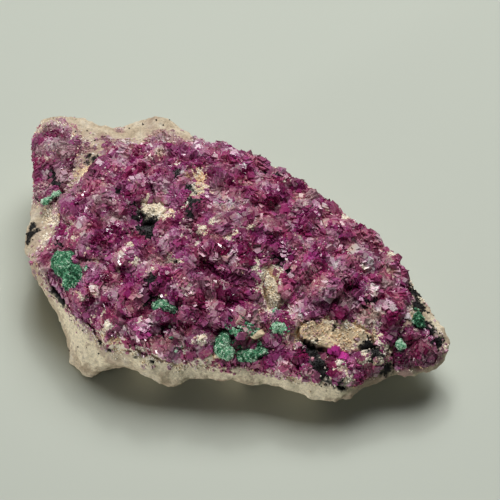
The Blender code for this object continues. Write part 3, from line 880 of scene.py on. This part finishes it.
# %% Groups of parallel crystals
GROUP_DRAWS = 1680
GROUP_ROOM = 1.1 * MM
BATCH = 2000
draw = np.random.default_rng(5)
group_places, _ = draw_places(beds, GROUP_DRAWS, GROUP_ROOM, draw)
group_axes = turned(draw.normal(size=(len(group_places), 3)), 0.0, draw)
group_scales = draw.uniform(0.75, 1.45, len(group_places))
group_tints = draw.normal(size=len(group_places)) * 0.10
print(len(group_places), "groups of crystals")


def group_of(places):
    """The number of the nearest group centre."""
    nearest = np.zeros(len(places), int)
    for start in range(0, len(places), BATCH):
        part = places[start:start + BATCH]
        gaps = np.linalg.norm(part[:, None, :] - group_places[None, :, :], axis=2)
        nearest[start:start + BATCH] = gaps.argmin(axis=1)
    return nearest


# %% [markdown]
# Fewer crystals grow where rock or oxide shows. On the rock beside the crust they fade out over
# about a millimetre, and none grow low on the walls, so the border is loose and ragged. On the
# crust itself a bare patch still keeps one crystal in ten, and where the rock has its mauve tinge
# more of them stay. A crystal's number for tint, dullness and hot pink adds up from these parts.

# %% Where crystals grow and how they look
ON_CRUST = 0.1
FADE = 1.1
LOWEST_FADE = 4.5 * MM
BORDER_BARE = 0.9
BORDER_WIDTH = 3.0
MAUVE_KEEPS = 0.75
PARALLEL = 0.7
WOBBLE = 0.12
USUAL_TINT = 0.385
USUAL_DULLNESS = 0.25
MOST_DULLNESS = 0.85
LOOSE_GAP = 0.3


def chance_of_none(places, gaps):
    """The chance that no crystal grows at each place, with its gap from the crust."""
    bare = stained(places, "bare") * np.clip(BORDER_BARE + gaps / BORDER_WIDTH, 0, 1)
    covered = np.maximum(bare, stained(places, "black"))
    covered = np.maximum(covered, 1 - np.exp(-np.maximum(gaps - ON_CRUST, 0) / FADE))
    covered *= 1 - MAUVE_KEEPS * stained(places, "mauve")
    return np.where((gaps > ON_CRUST) & (places[:, 2] < LOWEST_FADE), 1, covered)


def crystal_axes(directions, groups, lean, draw):
    """Axes of crystals, most of them nearly parallel to their group and the others free."""
    axes = turned(directions, lean, draw)
    parallel = draw.random(len(directions)) < PARALLEL
    wobble = group_axes[groups] + WOBBLE * draw.normal(size=axes.shape)
    wobble_x = unit(wobble[:, :, 0])
    wobble_z = unit(np.cross(wobble_x, wobble[:, :, 1]))
    wobble = np.stack([wobble_x, np.cross(wobble_z, wobble_x), wobble_z], axis=2)
    return np.where(parallel[:, None, None], wobble, axes)


def crystal_looks(places, groups, gaps, darker, draw):
    """The tint, dullness and hot share of each crystal."""
    loose = np.clip(gaps / LOOSE_GAP, 0, 1)
    tint = USUAL_TINT - darker + 0.24 * noise_at(places, 2.6) + 0.20 * noise_at(places, 0.8)
    tint += group_tints[groups]
    tint += 0.095 * draw.normal(size=len(places))
    tint += 0.40 * stained(places, "pale") - 0.30 * stained(places, "deep")
    tint += 0.25 * loose
    dull = USUAL_DULLNESS + 0.60 * noise_at(places, 1.8, 3.0) + 0.12 * draw.normal(size=len(places))
    dull += 0.5 * stained(places, "dull") - 0.5 * stained(places, "deep") + 0.4 * loose
    hot = 0.55 * stained(places, "hot") * draw.uniform(0.4, 1, len(places)) * (1 - loose)
    return np.clip(tint, 0, 1), np.clip(dull - hot, 0, MOST_DULLNESS), hot


print("a bare patch of the crust loses", BORDER_BARE, "of its crystals")

# %% [markdown]
# The main crust gets coarse rhombs first, then fine ones between them, blades and dogteeth. The
# rock gets the loose rhombs of the border, and the two small crusts have finer, darker rhombs.

# %% Grow the crystals
PIECE_COPIES = 12000
DEEPEST = 0.40


def crystals_on(pieces, name, pattern, count, room, sizes, lean, seed, darker):
    """Crystals of one pattern on these pieces, in joined meshes of PIECE_COPIES at most."""
    draw = np.random.default_rng(seed)
    places, directions = draw_places(pieces, count, room * MM, draw)
    gaps = crust_gap(places)
    covered = chance_of_none(places, gaps)
    grown = draw.random(len(places)) > covered
    grown &= (gaps < ON_CRUST) | (draw.random(len(places)) > covered)
    places, directions, gaps = places[grown], directions[grown], gaps[grown]
    groups = group_of(places)
    axes = crystal_axes(directions, groups, lean, draw)
    lengths = draw.uniform(*sizes, len(places)) * group_scales[groups] * MM
    tint, dull, hot = crystal_looks(places, groups, gaps, darker, draw)
    places = places - directions * (lengths * draw.uniform(0.0, DEEPEST, len(places)))[:, None]
    for part in range(0, len(places), PIECE_COPIES):
        some = slice(part, part + PIECE_COPIES)
        piece = grow(f"{name}_{part // PIECE_COPIES + 1}", pattern, places[some], axes[some],
                     lengths[some], tint=tint[some], dull=dull[some], hot=hot[some])
        settle(piece, "cobaltoan_calcite", calcite_crystal_finish)


main_bed, *end_beds = beds
CRYSTALS = [
    # on, name, pattern, draws, room in mm, sizes in mm, lean, seed, darker
    ([main_bed], "calcite_rhombs_main", RHOMB, 70000, 0.33, (0.34, 0.66), 0.5, 1, 0.0),
    ([main_bed], "calcite_small_rhombs_main", RHOMB, 140000, 0.20, (0.18, 0.36), 0.8, 2, 0.0),
    ([main_bed], "calcite_blades_main", BLADE, 10000, 0.55, (0.34, 0.70), 0.8, 3, 0.0),
    ([main_bed], "calcite_dogteeth_main", DOGTOOTH, 16000, 0.60, (0.30, 0.60), 0.6, 4, 0.0),
    ([rock], "calcite_border_rhombs", RHOMB, 160000, 0.18, (0.14, 0.34), 0.8, 7, 0.0),
    (end_beds, "calcite_rhombs_ends", RHOMB, 20000, 0.26, (0.26, 0.50), 0.5, 5, 0.12),
    (end_beds, "calcite_small_rhombs_ends", RHOMB, 30000, 0.18, (0.15, 0.30), 0.8, 6, 0.12),
]
for row in CRYSTALS:
    crystals_on(*row)

# %% [markdown]
# ## The large crystals
# A few crystals are big enough to be seen one by one: a pale pink rhomb in the middle, lilac
# blocks on the right, a dark wine one beside the black band and hot pink ones by the open rock.
# Each is a bevelled rhomb, a little more than half sunk in the crust, with smaller rhombs grown
# parallel to it on its sides.

# %% Large crystals
LARGE_CRYSTALS = [
    # x, y, edge in mm, tint, dullness, hot
    (223, 286, 1.25, 0.80, 0.25, 0.0), (324, 209, 1.45, 0.90, 0.10, 0.0), (331, 218, 0.85, 0.85, 0.10, 0.0),
    (327, 295, 1.30, 0.78, 0.30, 0.0), (371, 291, 1.15, 0.74, 0.10, 0.0), (95, 289, 1.05, 0.88, 0.20, 0.0),
    (97, 303, 0.60, 0.95, 0.05, 0.0), (122, 257, 0.80, 0.92, 0.05, 0.0), (354, 250, 1.10, 0.88, 0.25, 0.0),
    (367, 265, 0.90, 0.85, 0.25, 0.0), (390, 274, 0.75, 0.98, 0.00, 0.0), (380, 270, 0.55, 0.95, 0.00, 0.0),
    (299, 356, 1.50, 0.06, 0.00, 0.0), (240, 343, 0.85, 0.45, 0.00, 0.1), (145, 334, 0.95, 0.45, 0.00, 0.6),
    (130, 311, 0.85, 0.62, 0.00, 0.3), (283, 366, 1.15, 0.68, 0.00, 0.1), (298, 372, 1.00, 0.62, 0.00, 0.2),
    (272, 368, 0.80, 0.90, 0.00, 0.0), (399, 366, 0.85, 0.60, 0.20, 0.0), (407, 317, 0.70, 0.90, 0.10, 0.0),
    (414, 328, 0.70, 0.88, 0.20, 0.0), (213, 316, 0.65, 0.97, 0.05, 0.0), (187, 286, 0.50, 0.98, 0.00, 0.0),
    (304, 319, 0.65, 0.97, 0.05, 0.0), (106, 221, 0.60, 0.96, 0.05, 0.0), (150, 148, 0.60, 0.95, 0.05, 0.0),
    (46, 245, 0.60, 0.85, 0.10, 0.0), (50, 159, 0.80, 0.75, 0.20, 0.0), (108, 240, 0.45, 0.98, 0.00, 0.0),
    (333, 266, 0.65, 0.90, 0.10, 0.0), (237, 182, 0.80, 0.75, 0.60, 0.0), (282, 212, 1.30, 0.42, 0.00, 0.3),
    (246, 175, 1.20, 0.30, 0.00, 0.1), (142, 171, 1.10, 0.12, 0.00, 0.0), (242, 250, 1.10, 0.15, 0.00, 0.0),
    (382, 301, 1.00, 0.05, 0.00, 0.0), (392, 314, 1.20, 0.15, 0.00, 0.0), (128, 282, 1.10, 0.15, 0.00, 0.1),
    (300, 190, 0.90, 0.15, 0.10, 0.0), (221, 295, 0.90, 0.18, 0.00, 0.1), (343, 357, 1.50, 0.62, 0.00, 1.0),
    (335, 350, 1.25, 0.62, 0.00, 1.0), (352, 364, 1.25, 0.72, 0.00, 0.7), (121, 170, 0.60, 0.60, 0.20, 0.0),
    (290, 217, 0.60, 0.85, 0.30, 0.0), (267, 186, 0.70, 0.72, 0.30, 0.0), (226, 207, 0.90, 0.78, 0.30, 0.0),
    (384, 311, 0.90, 0.72, 0.40, 0.0), (366, 303, 0.35, 0.98, 0.00, 0.0), (172, 270, 0.70, 0.60, 0.00, 0.3),
]
SINK = 0.12
LARGE_SIZE = 0.85
LARGE_LEAN = 0.6
BEVEL = 0.03


def make_large_rhomb():
    piece = on_its_corner(SQUASH)
    apply_modifier(piece, "BEVEL", width=BEVEL, segments=2)
    return pattern_of(piece)


draw = np.random.default_rng(21)
rows = np.array([row[2:] for row in LARGE_CRYSTALS])
places = np.array([on_stone(row[0], row[1]) for row in LARGE_CRYSTALS])
places[:, 2] -= SINK * rows[:, 0] * MM
axes = turned(upright(len(rows)), LARGE_LEAN, draw)
large = grow("calcite_large_crystals", make_large_rhomb(), places, axes, LARGE_SIZE * rows[:, 0] * MM,
             tint=rows[:, 1], dull=0.2 + 0.4 * rows[:, 2], hot=rows[:, 3])
settle(large, "cobaltoan_calcite", calcite_crystal_finish)

# %% Smaller crystals on their sides
SMALLER_EACH = 9
SMALLER_SIZES = (0.28, 0.62)
rows, axes, places = (np.repeat(part, SMALLER_EACH, axis=0) for part in (rows, axes, places))
shares = draw.uniform(*SMALLER_SIZES, len(rows))
offsets = unit(draw.normal(size=(len(rows), 3))) * (0.5 * rows[:, 0] * MM)[:, None]
offsets[:, 2] = np.abs(offsets[:, 2]) * 0.8
small = grow("calcite_side_crystals", RHOMB, places + offsets, axes, rows[:, 0] * shares * MM,
             tint=np.clip(rows[:, 1] + 0.15 * draw.normal(size=len(rows)), 0, 1),
             dull=rows[:, 2], hot=rows[:, 3])
settle(small, "cobaltoan_calcite", calcite_crystal_finish)

# %% [markdown]
# ## Grains
# Sugary grains of rock lie in the holes of the crust, along its border and here and there between
# the crystals. Each grain carries one number, from cream at 0 over orange-tan to dull mauve at 1.
# Black oxide grows as small sooty grains of the same form.


# %% Finishes of the grains
def grain_finish():
    finish = Finish("rock_grain_finish", 0.7)
    shade = finish.ramp(finish.attribute("tint"), [
        (0.0, (1.0, 0.96, 0.86)), (0.3, (1.0, 0.89, 0.69)), (0.55, (0.95, 0.71, 0.42)),
        (0.8, (0.72, 0.50, 0.46)), (1.0, (0.42, 0.22, 0.26)),
    ])
    grain = finish.ramp(finish.noise(5.0, 3.0), [(0.35, 0.85), (0.65, 1.2)])
    finish.colour(finish.mix(1.0, shade, grain, "MULTIPLY"))
    return finish.material


def oxide_finish():
    finish = Finish("oxide_grain_finish", 0.9)
    finish.shader.inputs["Specular IOR Level"].default_value = 0.2
    finish.colour(finish.ramp(finish.noise(4.0, 2.0), [
        (0.35, (0.008, 0.008, 0.009)), (0.7, (0.03, 0.028, 0.028)),
    ]))
    return finish.material


rock_grain_finish = grain_finish()
oxide_grain_finish = oxide_finish()
print("made", rock_grain_finish.name, "and", oxide_grain_finish.name)

# %% Scatter the grains
GRAIN_COPIES = 8000
GRAIN_ROOM = 0.14 * MM
BORDER_FADE = 0.7
draw = np.random.default_rng(31)
places, directions = draw_places([rock] + beds, 260000, GRAIN_ROOM, draw, lowest_slope=0.3)
bare, black = stained(places, "bare"), stained(places, "black")
gaps = crust_gap(places)
on_crust = gaps < 0.02
border = np.exp(-gaps / BORDER_FADE) * (places[:, 2] > WALL_TOP)
chance = draw.random(len(places))
black_ones = chance < 0.85 * black + 0.015 * (1 - bare)
tan_share = np.where(on_crust, 0.95 * bare + 0.06, 0.50 * bare + 0.50 * border)
tan_ones = ~black_ones & (chance < tan_share)
tints = 0.12 + 0.30 * noise_at(places, 1.5, 11.0) + 0.12 * draw.normal(size=len(places))
tints += 0.42 * stained(places, "warm")
tints += 0.45 * border * (1 - bare) * draw.random(len(places))
for name, chosen, sizes, finish in (
    ("rock_grains", tan_ones, (0.12, 0.30), rock_grain_finish),
    ("oxide_grains", black_ones, (0.11, 0.24), oxide_grain_finish),
):
    chosen = np.flatnonzero(chosen)
    for part in range(0, len(chosen), GRAIN_COPIES):
        some = chosen[part:part + GRAIN_COPIES]
        lengths = draw.uniform(*sizes, len(some)) * MM
        grains = grow(f"{name}_{part // GRAIN_COPIES + 1}", GRAIN, places[some],
                      turned(directions[some], 0.8, draw), lengths, tint=np.clip(tints[some], 0, 1))
        settle(grains, "host_rock", finish)

# %% [markdown]
# ## Malachite
# The green growths are tufts of fine fibres, so close that they look like velvet with a frosty
# sparkle. Each solid is remeshed, swollen or shrunk a little, and roughened. Grains and short
# needles stand out of it all round, each with its own green. Every growth has its own brightness.


# %% Finish of the malachite
def malachite_finish():
    finish = Finish("malachite_finish", 0.5)
    shade = finish.add(finish.attribute("tint"), finish.ramp(finish.noise(2.2, 4.0), [
        (0.35, 0.0), (0.7, 0.3),
    ]))
    finish.colour(finish.ramp(shade, [
        (0.0, (0.005, 0.035, 0.016)), (0.3, (0.018, 0.15, 0.066)), (0.55, (0.06, 0.32, 0.16)),
        (0.8, (0.27, 0.62, 0.38)), (1.0, (0.70, 0.92, 0.74)),
    ]))
    finish.bump(finish.noise(8.0, 5.0, 0.7), 0.6, 0.05 * MM)
    return finish.material


green_finish = malachite_finish()
print("made", green_finish.name)

# %% Model the malachite
BRIGHTNESS = {
    "malachite_tuft_left": 0.42, "malachite_strip_upper_left": 0.80, "malachite_tuft_middle": 0.60,
    "malachite_tuft_front": 0.66, "malachite_tuft_front_right": 0.54, "malachite_chip_middle": 0.78,
    "malachite_ball_tip": 0.26, "malachite_chip_tip": 0.82,
}
SWELL = {
    # in millimetres, inwards where negative
    "malachite_tuft_left": 0.30, "malachite_tuft_front": 0.15, "malachite_strip_upper_left": -0.12,
    "malachite_ball_tip": 0.02, "malachite_chip_tip": -0.05,
}
USUAL_SWELL = 0.08
TUFT_VOXEL = 0.11 * MM
TUFT_COATS = [
    # name, pattern, room in mm, sizes in mm
    ("grains", GRAIN, 0.11, (0.10, 0.24)),
    ("fibres", NEEDLE, 0.13, (0.14, 0.32)),
]
for number, (node, bright) in enumerate(BRIGHTNESS.items()):
    draw = np.random.default_rng(40 + number)
    tuft = copy_of(node, node + "_body")
    skin(tuft, TUFT_VOXEL, smoothing=2)
    swell(tuft, SWELL.get(node, USUAL_SWELL) * MM)
    roughen(tuft, (0.8, 0.40), (0.4, 0.32), (0.2, 0.18))
    paint(tuft, "tint", np.full(len(tuft.data.vertices), 0.6 * bright))
    settle(tuft, "malachite", green_finish, node)
    for kind, pattern, room, sizes in TUFT_COATS:
        places, directions = draw_places([tuft], 12000, room * MM, draw, lowest_slope=-0.6)
        lengths = draw.uniform(*sizes, len(places)) * MM
        tints = bright + 0.45 * noise_at(places, 0.45) + 0.22 * draw.normal(size=len(places))
        piece = grow(f"{node}_{kind}", pattern, places, turned(directions, 0.7, draw), lengths,
                     tint=np.clip(tints, 0, 1))
        settle(piece, "malachite", green_finish)

# %% [markdown]
# Between the large tufts the same green grows as flecks of a few grains, most of them in the
# group at the front edge. They are scattered like the rock grains, at their own named patches.

# %% Scatter green flecks
FLECK_ROOM = 0.13 * MM
HIGHEST_FLECK = 0.22
FLECK_SIZES = (0.16, 0.42)
draw = np.random.default_rng(61)
places, directions = draw_places([rock] + beds, 300000, FLECK_ROOM, draw)
green = stained(places, "green") > draw.random(len(places))
places, directions = places[green], directions[green]
places = places + directions * (draw.uniform(0, HIGHEST_FLECK, len(places)) * MM)[:, None]
lengths = draw.uniform(*FLECK_SIZES, len(places)) * MM
tints = 0.60 + 0.4 * noise_at(places, 0.5) + 0.2 * draw.normal(size=len(places))
flecks = grow("malachite_flecks", GRAIN, places, turned(directions, 0.8, draw), lengths,
              tint=np.clip(tints, 0, 1))
settle(flecks, "malachite", green_finish)

# %% [markdown]
# ## Pebbles
# A few rock grains are big enough to show as smooth pebbles, the largest of them orange and held
# in the green group. They are the same lump with more faces, drawn out to one and a half times
# its width.

# %% Place the pebbles
PEBBLES = [
    # x, y, length in mm, tint
    (257, 338, 1.50, 0.45), (247, 335, 0.60, 0.15), (217, 357, 0.75, 0.35), (213, 347, 0.80, 0.20),
    (283, 333, 0.70, 0.15), (201, 340, 0.60, 0.30), (339, 365, 0.70, 0.10), (232, 365, 0.55, 0.40),
    (204, 230, 0.60, 0.25), (237, 233, 0.45, 0.10), (173, 257, 0.50, 0.20), (140, 225, 0.45, 0.10),
    (86, 309, 0.55, 0.15), (110, 327, 0.60, 0.10), (137, 348, 0.70, 0.10), (152, 290, 0.60, 0.15),
]
LIFT = 0.45
PEBBLE_LEAN = 0.2


def make_pebble():
    bpy.ops.object.select_all(action="DESELECT")
    bpy.ops.mesh.primitive_ico_sphere_add(subdivisions=3, radius=0.5)
    piece = bpy.context.object
    for vertex in piece.data.vertices:
        vertex.co *= 1 + 0.35 * noise.noise(vertex.co * 2.2)
    piece.data.transform(Matrix.Diagonal((1.0, 0.65, 0.6, 1)))
    return pattern_of(piece)


draw = np.random.default_rng(71)
rows = np.array([row[2:] for row in PEBBLES])
places = np.array([on_stone(row[0], row[1]) for row in PEBBLES])
places[:, 2] += LIFT * rows[:, 0] * MM
axes = turned(upright(len(rows)), PEBBLE_LEAN, draw)
pebbles = grow("rock_pebbles", make_pebble(), places, axes, rows[:, 0] * MM, tint=rows[:, 1])
settle(pebbles, "host_rock", rock_grain_finish)
